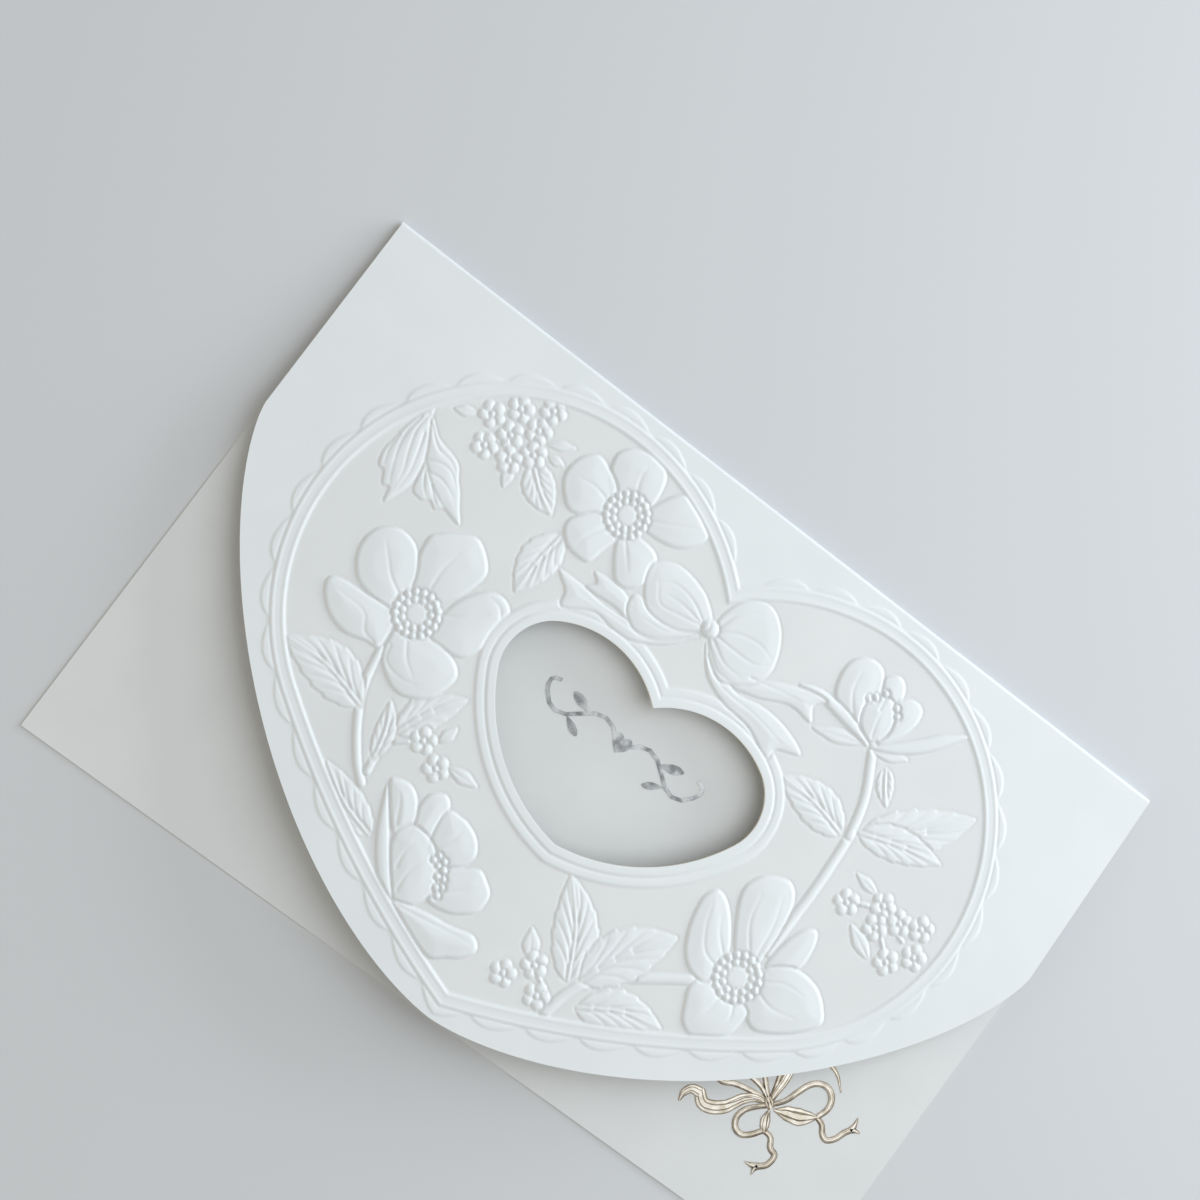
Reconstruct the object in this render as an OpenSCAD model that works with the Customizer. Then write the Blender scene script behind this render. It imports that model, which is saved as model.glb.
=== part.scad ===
// Wedding invitation card, one folded sheet: a back panel and a front flap with a heart window
// X runs along the fold, Y points to the fold, Z is up, and the back panel lies on Z = 0

/* [Card] */
// Width of the card along the fold, in mm
card_w = 216; // [190:1:240]
// Height of the back panel, in mm
card_h = 136; // [124:1:150]
// Thickness of the card stock, in mm
stock_t = 0.45; // [0.35:0.05:0.7]

/* [Fold] */
// Inside radius of the fold, in mm
fold_r = 0.5; // [0.4:0.1:1.2]
// Angle by which the front flap springs open, in degrees
flap_open = 4; // [3:0.5:9]

/* [Flap] */
// Length of the flap from the fold to its lowest point, in mm
flap_l = 135; // [122:1:148]
// Length of the straight sides of the flap below the fold, in mm
flap_side = 49; // [44:1:58]
// Power of the flap's lower edge across the fold: lower values make the edge fuller
flap_full = 1.41; // [1.2:0.01:1.8]
// Power of the flap's lower edge along the fold: higher values make the shoulders rounder
flap_round = 1.22; // [1:0.02:1.4]

/* [Window] */
// Width of the heart window, in mm
window_w = 69.2; // [58:0.2:72]
// Width of the stepped moulding around the window, in mm
frame_w = 4.6; // [3:0.2:6]

/* [Relief] */
// Height of the petals at their crowns, in mm
petal_h = 0.9; // [0.7:0.05:1.3]
// Height of the petals at their edges, in mm
petal_edge = 0.3; // [0.15:0.05:0.5]
// Height of the leaves, stems and ribbon, in mm
leaf_h = 0.45; // [0.3:0.05:0.7]
// Height of the heart border, in mm
border_h = 0.5; // [0.3:0.05:0.8]
// Width of the double heart border, in mm
border_w = 3.4; // [2.4:0.2:4.6]
// Height of the scallops along the border, in mm
scallop_h = 0.25; // [0.15:0.05:0.4]
// Radius of the stamen beads, in mm
bead_r = 0.8; // [0.6:0.05:1]

/* [Foil] */
// Thickness of the foil stamping, in mm
foil_t = 0.1; // [0.06:0.02:0.2]
// Size of the foil bow, knot to loop end, in mm
bow_size = 16; // [11:0.5:18]
// Length of the foil flourish in the window, in mm
flourish_l = 46; // [32:1:50]

/* [Hidden] */
$fa = 2;
$fs = 0.4;

// Fold section: outer radius, fold line and lower edge, with the whole card centred along Y
outer_r = fold_r + stock_t;
fold_y = (card_h - outer_r) / 2;
panel_low = fold_y - card_h;
// Ornament scale: the raised heart shrinks or grows with the flap's narrower side
width_share = 1 / 216;
length_share = 1 / 135;
art = min(card_w * width_share, flap_l * length_share);
// Depth by which raised shapes root in the sheet, and overrun of the cutters
root = 0.15;
over = 0.2;

// Drawing helpers: a point by its distance from the middle and its drop from the fold
function at(x, drop) = [x * art, -drop * art];
function unit(p) = p / norm(p);
function turn(p, a) = [p[0] * cos(a) - p[1] * sin(a), p[0] * sin(a) + p[1] * cos(a)];
function dir(a) = [cos(a), sin(a)];
function heading(p) = atan2(p[1], p[0]);

// Meeting point of two circles on the chosen side of the line through their centres
function meet(p, rp, q, rq, side) =
  let (
    d = norm(q - p),
    e = (q - p) / d,
    a = (rp * rp - rq * rq + d * d) / (2 * d),
    h = sqrt(max(0, rp * rp - a * a))
  )
  p + a * e + side * h * [-e[1], e[0]];

// Heart of three arcs a side that run smoothly into each other, each lobe standing proud by a hair:
// [lobe centre, lobe r, flank centre, flank r, top centre, top r]
proud = 0.02;
function heart(lobe, lobe_r, flank_r, top_r, cleft, tip) = [
  lobe, lobe_r,
  meet(lobe, flank_r - lobe_r + proud, tip, flank_r, 1), flank_r,
  meet(lobe, top_r - lobe_r + proud, cleft, top_r, -1), top_r
];

// Large border heart
border_heart = heart(at(-38.3, 54.8), 50 * art, 260 * art, 56 * art, at(0, 20.5), at(0, 130));

// Window heart, drawn at its own scale about its own middle
window_share = 1 / 69.2;
win = window_w * window_share;
window_mid = at(0, 66);
function in_window(x, drop) = window_mid + win * [x, -drop];
window_heart = heart(
  in_window(-22.1, -6.5), 12.5 * win, 44 * win, 24 * win, in_window(0, -14.3), in_window(0, 22.7)
);

// Left half of a heart, grown outward by d
module half_heart(g, d) {
  far = 3 * (g[1] + d);
  low = g[0] + far * unit(g[0] - g[2]);
  high = g[0] + far * unit(g[0] - g[4]);
  base = g[0][1] - 2 * far;
  union() {
    translate(g[0]) circle(g[1] + d);
    intersection() {
      translate(g[4]) circle(g[5] + d);
      polygon([g[0], high, [0, high[1]], [0, g[0][1]]]);
    }
    intersection() {
      translate(g[2]) circle(g[3] + d);
      polygon([g[0], [0, g[0][1]], [0, base], low]);
    }
  }
}

module heart_area(g, d) {
  half_heart(g, d);
  mirror([1, 0]) half_heart(g, d);
}

module heart_band(g, d_out, d_in) {
  difference() {
    heart_area(g, d_out);
    heart_area(g, d_in);
  }
}

// Flap outline: straight sides, round shoulders and a full lower edge
outline_n = 36;
outline_w = card_w / 2 + over;
function flap_edge(a) = [
  outline_w * sign(cos(a)) * pow(abs(cos(a)), flap_round),
  -flap_side - (flap_l - flap_side) * pow(sin(a), flap_full)
];
flap_outline = concat(
  [[outline_w, 0]],
  [for (i = [0:outline_n]) flap_edge(180 * i / outline_n)],
  [[-outline_w, 0]]
);

// Place flat work on the outer face of the sprung flap
module on_flap() {
  translate([0, fold_y, outer_r]) rotate([-flap_open, 0, 0]) translate([0, 0, outer_r]) children();
}

// Raise a flat drawing from the flap face
module raise(h) {
  translate([0, 0, -root]) linear_extrude(root + h) children();
}

// Sections of the folded sheet across the fold: back panel, rounded fold and sprung flap
module along_fold() {
  rotate([90, 0, 90]) linear_extrude(card_w, center = true) children();
}
module panel_section() {
  translate([panel_low, 0]) square([card_h, stock_t]);
}
module fold_section() {
  reach = 2 * outer_r;
  translate([fold_y, outer_r]) difference() {
    intersection() {
      circle(outer_r);
      polygon([[0, 0], [0, -reach], [reach, -reach], [reach, reach], reach * dir(90 - flap_open)]);
    }
    circle(fold_r);
  }
}
module flap_section() {
  translate([fold_y, outer_r]) rotate(-flap_open) translate([-flap_l, fold_r]) square([flap_l, stock_t]);
}

module sheet() {
  difference() {
    union() {
      along_fold() panel_section();
      along_fold() fold_section();
      along_fold() flap_section();
    }
    on_flap() translate([0, 0, -stock_t - over]) linear_extrude(stock_t + 2 * over) difference() {
      translate([-card_w, -2 * flap_l]) square([2 * card_w, 2 * flap_l - flap_side]);
      polygon(flap_outline);
    }
    on_flap() translate([0, 0, -stock_t - over]) linear_extrude(stock_t + 2 * over)
      heart_area(window_heart, 0);
  }
}

// Petal outline along +X from its base to its tip: wedge base, blunt round end
petal_n = 6;
petal_swell = 1.45;
petal_blunt = 0.7;
function petal_half(u, w) = w / 2 * pow(sin(180 * pow(u, petal_swell)), petal_blunt);
function petal_side(l, w, s) = [
  for (i = [1:petal_n - 1]) let (u = (1 - cos(180 * i / petal_n)) / 2) [l * u, s * petal_half(u, w)]
];
function reversed(p) = [for (i = [len(p) - 1:-1:0]) p[i]];
function petal_outline(l, w) = concat(
  [[0, 0]], petal_side(l, w, -1), [[l, 0]], reversed(petal_side(l, w, 1))
);

// Petal from its base point to its tip point, with a flat crown that slopes to both edges
crown = 0.12;
function petal_section(w) =
  let (side = w / 2 + over, low = -root - over)
  [[-side, low], [-side, petal_edge], [-w * crown, petal_h], [w * crown, petal_h], [side, petal_edge], [side, low]];
module petal(from, to, w) {
  run = to - from;
  l = norm(run);
  translate([from[0], from[1], 0]) rotate(heading(run)) intersection() {
    raise(petal_h + over) polygon(petal_outline(l, w));
    translate([-over, 0, 0]) rotate([90, 0, 90]) linear_extrude(l + 2 * over) polygon(petal_section(w));
  }
}

// Ring of stamens: a button with a beaded rim and a hollow middle
bead_n = 10;
bead_steps = 2;
function bead_rim(r) = [
  for (i = [0:bead_n * bead_steps - 1])
    let (a = 360 * i / (bead_n * bead_steps)) (r + bead_r * abs(cos(a * bead_n / 2))) * dir(a)
];
module stamens(mid, r) {
  translate(mid) difference() {
    polygon(bead_rim(r));
    circle(r - bead_r, $fn = bead_n);
  }
}

// Open flower: petals given as [angle, reach, width] about its middle
module flower(mid, ring, petals) {
  for (p = petals) {
    petal(mid + art * ring * dir(p[0]) / 2, mid + art * p[1] * dir(p[0]), art * p[2]);
  }
  raise(petal_h + bead_r / 2) stamens(mid, art * ring);
}

flower_left = [[88, 21, 13], [27, 18, 13], [-50, 18.5, 15], [197, 21, 10], [150, 21, 13]];
flower_top = [[178, 17.3, 13], [245, 15.5, 10], [-51, 15, 11], [21, 18.4, 11.5], [108, 15, 12]];
flower_low = [[153, 18.6, 11], [99, 24.2, 12.5], [63, 20.5, 8], [2, 22, 15.5], [268, 16.5, 14]];

// Flower seen from its side: petals given as [tip x, tip drop, width] fanned from one cup
cup_r = 3.2 * art;
cup_sides = 8;
module side_flower(base, petals) {
  for (p = petals) {
    tip = at(p[0], p[1]);
    petal(base + cup_r * 0.8 * unit(tip - base), tip, art * p[2]);
  }
  raise(leaf_h) translate(base) circle(cup_r, $fn = cup_sides);
}

side_left = [[-25.5, 94.5, 8], [-37.5, 98, 6], [-14.5, 97.5, 9], [-5.5, 106.5, 9.5], [-1, 118, 7]];
side_right = [[24, 27.5, 5], [31, 14.5, 9], [40.5, 12, 8.5], [51, 15, 8.5], [63, 13.5, 5]];

// Leaf outline along +X with saw teeth
leaf_teeth = 4;
leaf_dip = 0.84;
leaf_swell = 0.85;
function leaf_half(u, w) = w / 2 * pow(sin(180 * pow(u, leaf_swell)), 0.8);
function leaf_side(l, w, s) = [
  for (i = [0:leaf_teeth - 1])
    for (k = [0:1])
      let (u = (i + 0.12 + 0.72 * k) / leaf_teeth)
        [l * u, s * leaf_half(u, w) * (k == 0 ? leaf_dip : 1)]
];
function leaf_outline(l, w) = concat(
  [[0, 0]], leaf_side(l, w, -1), [[l, 0]], reversed(leaf_side(l, w, 1))
);

// Leaf cut by its midrib and side veins, drawn from base to tip
rib_w = 0.5;
vein_w = 0.32;
vein_n = 2;
vein_a = 38;
module leaf(from, to, w) {
  run = to - from;
  l = norm(run);
  translate(from) rotate(heading(run)) difference() {
    polygon(leaf_outline(l, w));
    polygon([[-over, -rib_w / 2], [l * 0.92, 0], [-over, rib_w / 2]]);
    for (i = [1:vein_n], s = [-1, 1])
      translate([l * (i - 0.3) / (vein_n + 1), 0]) rotate(s * vein_a)
        translate([0, -vein_w / 2]) square([w, vein_w]);
  }
}

// Small smooth leaf or bud
module bud(from, to, w) {
  run = to - from;
  translate(from) rotate(heading(run)) polygon(petal_outline(norm(run), w));
}

// Leaves as [base x, base drop, tip x, tip drop, width]
leaves_high = [[-78, 27, -59, 45, 11], [-79.5, 28.5, -76, 50, 8], [-38.5, 33.5, -40.5, 49.5, 9]];
leaves_left = [[-52, 88, -74.5, 87, 9.5], [-43, 89, -34.5, 75.5, 6.5], [-33.5, 110, -51, 103.5, 8]];
leaves_low = [[20, 110, 7, 92.5, 11], [23, 110, 34.5, 89.5, 12], [26, 115, 44, 108.5, 7]];
leaves_right = [[52, 49, 32.5, 46, 9], [55.5, 46, 76, 28, 10], [56, 48.5, 75, 41.5, 7.5]];
buds = [
  [-29, 89, -21.5, 89, 3.4], [-34, 86, -32.5, 81, 3], [10.5, 112.5, 7, 106.5, 3.6],
  [-70, 23, -75, 25, 3], [-57.5, 27, -56, 32.5, 3], [-53, 24, -45.5, 31.5, 5],
  [74, 68, 66, 64, 3.8], [25, 112, 39.5, 105.5, 6], [-44.5, 95, -48.5, 84.5, 4.4]
];

// Stem along a quadratic curve through three guide points
stem_n = 4;
function curve(p, q, r, t) = (1 - t) * (1 - t) * p + 2 * t * (1 - t) * q + t * t * r;
function slope(p, q, r, t) = unit((1 - t) * (q - p) + t * (r - q));
function rail(p, q, r, off) = [
  for (i = [0:stem_n]) let (t = i / stem_n) curve(p, q, r, t) + off * turn(slope(p, q, r, t), 90)
];
module stem(p, q, r, w) {
  polygon(concat(rail(p, q, r, w / 2), reversed(rail(p, q, r, -w / 2))));
}

stem_w = 1.9 * art;
module stems() {
  stem(at(-56, 80), at(-54, 91), at(-39, 104), stem_w);
  stem(at(-43.5, 80), at(-44.5, 91), at(-43, 100), stem_w * 0.8);
  stem(at(53.5, 78), at(54, 60), at(53.7, 47), stem_w);
  stem(at(53.7, 47.5), at(51.5, 39), at(46, 28), stem_w);
  stem(at(43.5, 94), at(33, 98), at(24, 107), stem_w);
  stem(at(24.4, 106), at(22, 111), at(21, 117), stem_w * 1.2);
}

// Five-lobed floret
floret_n = 10;
function floret_ring(r) = [
  for (i = [0:floret_n - 1]) let (a = 360 * i / floret_n) r * (0.8 + 0.2 * cos(5 * a)) * dir(a)
];
florets_high = [[-67.5, 21], [-63, 16.5], [-61.5, 22.5], [-57, 18], [-54.5, 23], [-65, 27.5]];
florets_low = [[-37, 87.5], [-31.5, 90.5], [7.5, 118], [12, 112.5], [16.5, 118]];
florets_right = [[62, 60.5], [69.5, 56.5], [75, 57], [71, 61], [80, 55.5], [77.5, 66]];
floret_r = 2.9 * art;
module florets() {
  for (f = concat(florets_high, florets_low, florets_right)) {
    translate(at(f[0], f[1])) polygon(floret_ring(floret_r));
  }
}

// Ribbon bow in the cleft of the border heart: hollow loops, tails and knot
knot = at(0, 29);
knot_r = 2 * art;
knot_sides = 8;
ribbon_w = 4.2 * art;
loop_in = 0.66;
module ribbon_loop(tip, w) {
  run = tip - knot;
  l = norm(run);
  translate(knot) rotate(heading(run)) difference() {
    polygon(petal_outline(l, w));
    translate([l * 0.24, 0]) polygon(petal_outline(l * loop_in, w * loop_in));
  }
}
module ribbon() {
  ribbon_loop(at(-19, 27), 11.5 * art);
  ribbon_loop(at(14.5, 24), 14 * art);
  ribbon_loop(at(-16, 39), 7 * art);
  stem(knot, at(-8, 43), at(-36, 39), ribbon_w);
  stem(knot, at(6, 41.5), at(33, 39.5), ribbon_w);
}

// Scallops outside the border, one closed scalloped line along the lobes and flanks
scallop_d = 2.4 * art;
scallop_n = 3;
lobe_n = 12;
lobe_from = 48;
flank_n = 6;
function above(a) = a < 0 ? a + 360 : a;
function swell(i) = pow(abs(sin(180 * i / scallop_n)), 0.7);
function arc_line(mid, r, from, to, n, depth) = [
  for (i = [0:n * scallop_n - 1])
    mid + (r + depth * swell(i)) * dir(from + (to - from) * i / (n * scallop_n))
];
function half_line(g, d, depth) =
  let (
    join = above(heading(g[0] - g[2])),
    last = above(heading(at(0, 130) - g[2]))
  )
  concat(
    arc_line(g[0], g[1] + d, lobe_from, join, lobe_n, depth),
    arc_line(g[2], g[3] + d, join, last, flank_n, depth)
  );
function across(p) = [for (q = p) [-q[0], q[1]]];
function whole_line(g, d, depth) =
  let (half = half_line(g, d, depth)) concat(half, reversed(across(half)));
module scallops() {
  edge = border_w / 2 - root;
  difference() {
    polygon(whole_line(border_heart, edge, scallop_d));
    polygon(whole_line(border_heart, edge - root, 0));
  }
}

// Double ridge of the border heart and stepped moulding of the window
ridge_share = 0.36;
module border() {
  edge = border_w / 2;
  ridge = border_w * ridge_share;
  raise(border_h) heart_band(border_heart, edge, edge - ridge);
  raise(border_h) heart_band(border_heart, ridge - edge, -edge);
}
module frame() {
  raise(border_h * 1.2) heart_band(window_heart, frame_w / 2, 0);
  raise(border_h * 0.7) heart_band(window_heart, frame_w, frame_w / 2 - root);
}

// Raised floral work, kept clear of the window and its moulding
module ornament() {
  difference() {
    union() {
      flower(at(-54.5, 66), 4.4, flower_left);
      flower(at(-29.5, 20.5), 4.4, flower_top);
      flower(at(51, 88.5), 4.8, flower_low);
      side_flower(at(-21.5, 118), side_left);
      side_flower(at(46, 28.5), side_right);
      raise(leaf_h) {
        for (l = concat(leaves_high, leaves_left, leaves_low, leaves_right)) {
          leaf(at(l[0], l[1]), at(l[2], l[3]), art * l[4]);
        }
        for (b = buds) {
          bud(at(b[0], b[1]), at(b[2], b[3]), art * b[4]);
        }
        florets();
        stems();
        ribbon();
      }
      raise(petal_h) translate(knot) circle(knot_r, $fn = knot_sides);
    }
    raise(2 * petal_h + bead_r) heart_area(window_heart, frame_w - root);
    translate([0, 0, -2 * card_h]) linear_extrude(2 * card_h - root) square(4 * card_w, center = true);
  }
}

module card() {
  color([0.90, 0.92, 0.91]) {
    sheet();
    on_flap() {
      border();
      raise(scallop_h) scallops();
      frame();
      ornament();
    }
  }
}

// Foil stamping on the front of the back panel
module on_panel(x, y, a) {
  translate([x, y, stock_t]) rotate(a) children();
}
module stamp() {
  linear_extrude(foil_t) children();
}

// Foil bow near the lower right corner, upright along the diagonal and the same on both sides
bow_turn = 54;
bow_across = 0.356;
bow_down = 0.787;
bow_x = bow_across * card_w;
bow_y = fold_y - bow_down * card_h;
bow_knot = 0.12;
bow_line = 0.1;
// Loops of one side as [angle, length, width], and tails as guide points, in shares of the bow size
bow_loops = [[-13, 1, 0.46], [-42, 0.74, 0.3], [58, 0.56, 0.24]];
bow_tails = [
  [[0, 0], [0.38, 0.3], [0.67, 0.175]],
  [[0.65, 0.18], [0.97, 0.13], [0.94, 0.475]],
  [[0.93, 0.45], [1, 0.62], [1.12, 0.54]],
  [[0, 0], [0.56, -0.34], [0.625, -0.725]],
  [[0.62, -0.7], [0.72, -0.88], [1.09, -0.79]]
];
module foil_loop(a, l, w) {
  rotate(a) difference() {
    polygon(petal_outline(l, w));
    translate([l * 0.2, 0]) polygon(petal_outline(l * 0.72, w * 0.64));
  }
}
module foil_bow() {
  s = bow_size;
  color([0.80, 0.77, 0.68]) on_panel(bow_x, bow_y, bow_turn) {
    for (k = [0, 1]) {
      mirror([k, 0, 0]) {
        for (p = bow_loops) {
          stamp() foil_loop(p[0], s * p[1], s * p[2]);
        }
        for (t = bow_tails) {
          stamp() stem(s * t[0], s * t[1], s * t[2], s * bow_line);
        }
      }
    }
    stamp() circle(s * bow_knot);
  }
}

// Foil flourish on the panel behind the window: mirrored waves with leaves about a small heart
flourish_y = fold_y - 62 * art;
wave_w = 0.02;
module foil_flourish() {
  l = flourish_l;
  color([0.74, 0.74, 0.73]) on_panel(0, flourish_y, 0) {
    for (k = [0, 1]) {
      mirror([k, 0, 0]) {
        stamp() stem([l * 0.03, 0], [l * 0.13, l * 0.12], [l * 0.25, 0], l * wave_w);
        stamp() stem([l * 0.245, l * 0.005], [l * 0.37, -l * 0.12], [l * 0.45, 0], l * wave_w);
        stamp() stem([l * 0.445, -l * 0.008], [l * 0.5, l * 0.07], [l * 0.42, l * 0.08], l * wave_w);
        stamp() bud([l * 0.21, l * 0.03], [l * 0.34, l * 0.07], l * 0.05);
        stamp() bud([l * 0.3, -l * 0.045], [l * 0.2, -l * 0.1], l * 0.04);
        stamp() bud([0, -l * 0.05], [l * 0.034, l * 0.045], l * 0.06);
      }
    }
  }
}

card();
foil_bow();
foil_flourish();
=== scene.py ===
"""A folded wedding invitation card with an embossed floral heart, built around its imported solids.

The flap's relief is worked out as one field of heights over the flap, in millimetres: x from the card's
middle and drop from the fold. Each flower, leaf and ribbon is pressed into that field in turn.
"""

import math

import bpy
import numpy as np
from mathutils import Matrix, Vector
from mathutils.geometry import delaunay_2d_cdt


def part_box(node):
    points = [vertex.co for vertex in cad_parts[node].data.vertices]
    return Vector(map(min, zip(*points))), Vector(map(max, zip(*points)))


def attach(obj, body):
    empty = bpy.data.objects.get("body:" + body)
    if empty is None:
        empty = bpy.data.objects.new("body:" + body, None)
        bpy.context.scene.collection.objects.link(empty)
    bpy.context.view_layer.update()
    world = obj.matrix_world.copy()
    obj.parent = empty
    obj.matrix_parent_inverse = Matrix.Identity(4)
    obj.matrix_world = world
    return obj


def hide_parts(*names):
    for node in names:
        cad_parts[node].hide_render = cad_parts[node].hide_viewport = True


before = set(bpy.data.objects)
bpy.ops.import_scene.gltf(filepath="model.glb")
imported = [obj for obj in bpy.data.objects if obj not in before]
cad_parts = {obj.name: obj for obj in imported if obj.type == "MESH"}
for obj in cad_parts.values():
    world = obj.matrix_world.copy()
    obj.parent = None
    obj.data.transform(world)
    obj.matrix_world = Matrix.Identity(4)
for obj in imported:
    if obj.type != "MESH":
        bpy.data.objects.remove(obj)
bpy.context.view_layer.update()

# Sizes of the sheet in millimetres, as in the part
MM = 0.001
card_low, card_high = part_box("card")
CARD_W = (card_high.x - card_low.x) / MM
PANEL_LOW = card_low.y / MM
STOCK = 0.45
FOLD_R = 0.5
OUTER_R = FOLD_R + STOCK
FOLD_Y = card_high.y / MM - OUTER_R
FLAP_OPEN = math.radians(4)
FLAP_L = 135
FLAP_SIDE = 49
FLAP_FULL = 1.41
FLAP_ROUND = 1.22

# Heart outlines: lobe centre, lobe radius, flank radius, top radius, cleft and tip, left half
BORDER_HEART = dict(lobe=(-38.3, 54.8), lobe_r=50, flank_r=260, top_r=56, cleft=20.5, tip=130)
WINDOW_HEART = dict(lobe=(-22.1, 59.5), lobe_r=12.5, flank_r=44, top_r=24, cleft=51.7, tip=88.7)
BORDER_W = 3.4
FRAME_W = 4.6

# Heights of the relief
PETAL_RISE = 0.8
RIBBON_RISE = 0.55
LEAF_RISE = 0.45
STEM_RISE = 0.45
FLORET_RISE = 0.5
BORDER_RISE = 0.36
MOULDING_RISE = 0.45
SCALLOP_RISE = 0.2
SOFTEN = 0.13


# The field of heights

GRID = 0.2
GRID_ROOM = 1.0
COLUMNS = np.arange(-CARD_W / 2 - GRID_ROOM, CARD_W / 2 + GRID_ROOM, GRID)
ROWS = np.arange(-GRID_ROOM, FLAP_L + GRID_ROOM, GRID)
relief = np.zeros((len(ROWS), len(COLUMNS)))

# Raised shapes: share of the height at the crisp edge, reach of the slow swell in edge widths, the groove
# around a shape with its share of the height below, and the ditch beside it
EDGE_SHARE = 0.66
SWELL = 5
GROOVE = 0.5
GROOVE_FLOOR = 0.25
DITCH = 0.16
# Share of what lies below that the edge of a new shape, or of a bead, starts from
KEEP_UNDER = 0.35
KEEP_UNDER_BEAD = 0.6
# Petals are lower at their flower's middle: share of the height there, where the rise begins, and its reach
MIDDLE_SHARE = 0.55
MIDDLE_R = 2.5
MIDDLE_REACH = 9
# How much a groove fades along its line, and how much of a shape's height it may take
CREASE_FADE = 0.75
CREASE_LIMIT = 0.85


def smooth(u):
    u = np.clip(u, 0, 1)
    return u * u * (3 - 2 * u)


def rounded(u):
    """A quarter round: 0 at an edge, 1 from one unit in."""
    u = np.clip(u, 0, 1)
    return np.sqrt(1 - (1 - u) ** 2)


def dome(u):
    """A half round: 1 in the middle, 0 from one unit out."""
    return np.sqrt(np.clip(1 - u**2, 0, 1))


def band(d, first, last, edge):
    """A flat band from first to last with rounded edges."""
    return rounded((d - first) / edge) * rounded((last - d) / edge)


def curve(points, closed=False, steps=7):
    """A smooth line through a few points."""
    p = np.array(points, float)
    if closed:
        p = np.vstack([p[-1], p, p[:2]])
    else:
        p = np.vstack([2 * p[0] - p[1], p, 2 * p[-1] - p[-2]])
    line = []
    for a, b, c, d in zip(p, p[1:], p[2:], p[3:]):
        for t in np.arange(steps) / steps:
            line.append(0.5 * (2 * b + (c - a) * t + (2 * a - 5 * b + 4 * c - d) * t**2
                               + (3 * b - a - 3 * c + d) * t**3))
    if not closed:
        line.append(p[-2])
    return np.array(line)


def patch(line, room):
    """The part of the field around a line, with the x and drop of its points."""
    lo, hi = line.min(0) - room, line.max(0) + room
    cols = slice(*np.searchsorted(COLUMNS, [lo[0], hi[0]]))
    rows = slice(*np.searchsorted(ROWS, [lo[1], hi[1]]))
    x, drop = np.meshgrid(COLUMNS[cols], ROWS[rows])
    return (rows, cols), x, drop


def distance(line, x, drop, closed=False):
    """Distance to a line, negative outside a closed one, and how far along it the nearest point is."""
    best = np.full(x.shape, np.inf)
    along = np.zeros(x.shape)
    inside = np.zeros(x.shape, bool)
    ends = np.roll(line, -1, 0) if closed else line[1:]
    for i, ((ax, ay), (bx, by)) in enumerate(zip(line, ends)):
        dx, dy = bx - ax, by - ay
        t = np.clip(((x - ax) * dx + (drop - ay) * dy) / max(dx * dx + dy * dy, 1e-12), 0, 1)
        gap = (x - ax - t * dx) ** 2 + (drop - ay - t * dy) ** 2
        near = gap < best
        best = np.where(near, gap, best)
        along = np.where(near, (i + t) / len(ends), along)
        if closed and ay != by:
            inside ^= ((ay > drop) != (by > drop)) & (x < ax + dx * (drop - ay) / dy)
    best = np.sqrt(best)
    return (np.where(inside, best, -best) if closed else best), along


def press(place, d, full, rise, keep=KEEP_UNDER):
    """Set a raised shape where d is positive, and sink a groove around it in what lies below."""
    under = relief[place]
    away = smooth(-d / GROOVE)
    sunk = np.minimum(under, under * (GROOVE_FLOOR + (1 - GROOVE_FLOOR) * away) - DITCH * (1 - away))
    edge = keep * under - DITCH
    relief[place] = np.where(d > 0, edge + (rise - edge) * full, np.maximum(sunk, -DITCH))


def pad(outline, rise, edge, mid=None, closed_curve=True):
    """A raised shape with a crisp edge and a slow swell. With a mid it falls towards that, as petals do."""
    line = curve(outline, closed=True) if closed_curve else np.array(outline, float)
    place, x, drop = patch(line, GROOVE)
    d, _ = distance(line, x, drop, closed=True)
    full = EDGE_SHARE * rounded(d / edge) + (1 - EDGE_SHARE) * smooth(d / (SWELL * edge))
    height = np.full(x.shape, float(rise))
    if mid is not None:
        out = np.hypot(x - mid[0], drop - mid[1])
        height *= MIDDLE_SHARE + (1 - MIDDLE_SHARE) * smooth((out - MIDDLE_R) / MIDDLE_REACH)
    press(place, d, full, height)


def crease(points, depth, width, split=0.0, fade=True):
    """A groove along a line, shallower to its far end. With a split it is two, that far to either side."""
    line = curve(points)
    place, x, drop = patch(line, split + 3 * width)
    d, along = distance(line, x, drop)
    strength = 1 - CREASE_FADE * along if fade else 1
    cut = depth * strength * np.exp(-((d - split) / width) ** 2)
    relief[place] -= np.minimum(cut, np.maximum(relief[place], 0) * CREASE_LIMIT)


def ridge(points, rise, half):
    """A half-round stem along a line."""
    line = curve(points)
    place, x, drop = patch(line, half + GROOVE)
    d, _ = distance(line, x, drop)
    press(place, half - d, dome(d / half), rise)


def bead(x0, drop0, radius, rise):
    """A round bead."""
    place, x, drop = patch(np.array([(x0, drop0)], float), radius + GROOVE)
    d = np.hypot(x - x0, drop - drop0)
    press(place, radius - d, dome(d / radius), rise, KEEP_UNDER_BEAD)


# Parts of the floral work

# Stamens: the button's room beyond the ring, and its rise. Rings: beads, share of radius, bead radius, rise
BUTTON_ROOM = 0.6
BUTTON_RISE = 0.35
STAMEN_RINGS = ((17, 1.0, 0.92, 0.8), (11, 0.68, 0.8, 0.62))
# Leaves: fullness and edge of the outline, half width and end of the midrib, depth and width of its grooves
LEAF_FULL = 0.8
LEAF_EDGE = 0.6
MIDRIB = 0.5
MIDRIB_END = 0.94
MIDRIB_GROOVE = (0.36, 0.28)
# One tooth: share of its length, and share of the leaf's width there
TOOTH = ((0.05, 0.95), (0.5, 1.0), (0.92, 1.04))
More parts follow.
